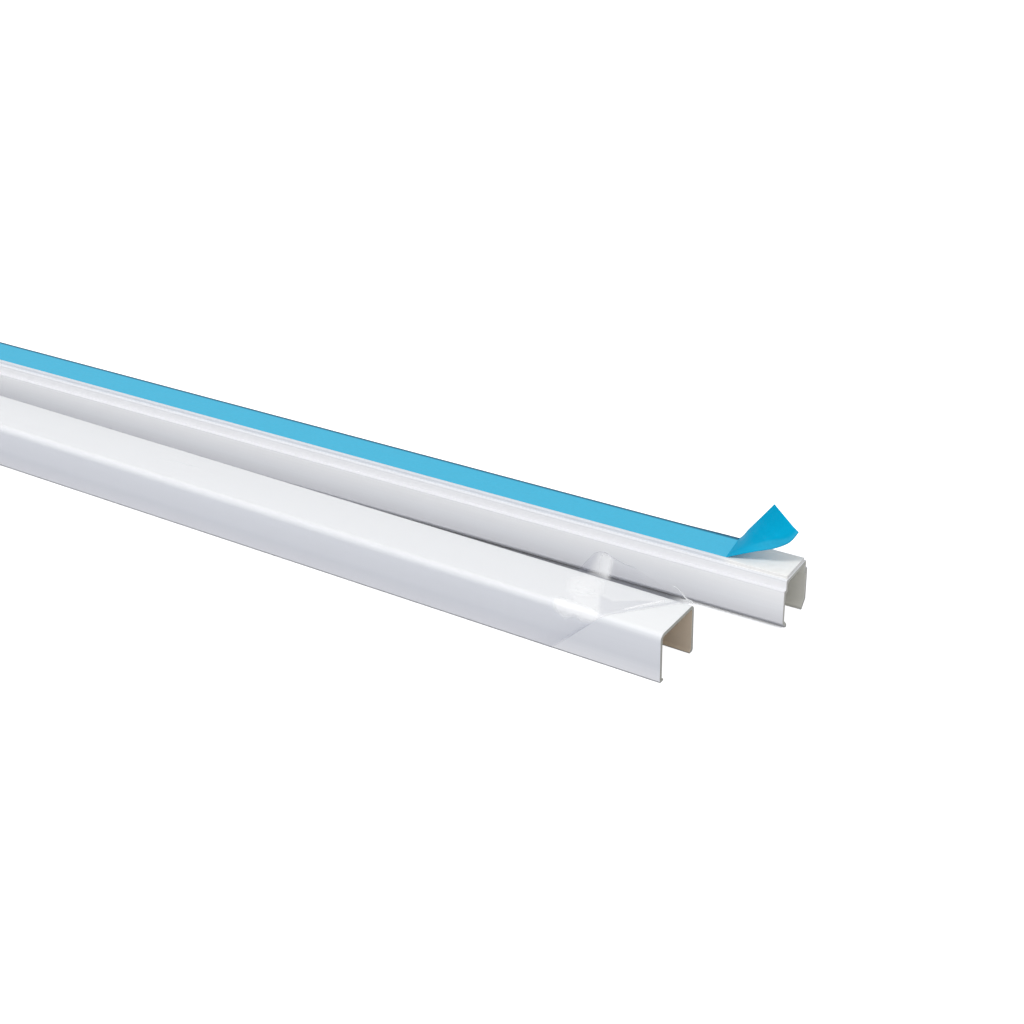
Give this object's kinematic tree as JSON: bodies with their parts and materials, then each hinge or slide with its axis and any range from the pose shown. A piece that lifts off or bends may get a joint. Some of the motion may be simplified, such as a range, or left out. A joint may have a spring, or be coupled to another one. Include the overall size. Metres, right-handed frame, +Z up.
{
  "type": "cord cover raceway",
  "caption": "Snap-together cord raceway: U-shaped base with foam tape and a half-peeled liner, lying beside its U-shaped cover in clear film.",
  "frame": {"origin": "middle of the whole set's box on the floor it lies on", "axes": "+Z up, +X along the base toward the end where the liner is lifted, +Y from the cover toward the base"},
  "size_m": [0.4206, 0.065, 0.0378],
  "materials": {
    "white_plastic": "smooth extruded PVC",
    "white_foam": "closed-cell foam tape with a clear adhesive skin",
    "blue_liner": "thin siliconised film",
    "clear_film": "clear thin plastic film"
  },
  "bodies": {
    "root": {"base_channel": "white_plastic", "cover_channel": "white_plastic", "adhesive_tape": "white_foam", "release_liner": "blue_liner", "protective_film": "clear_film"}
  },
  "joints": []
}
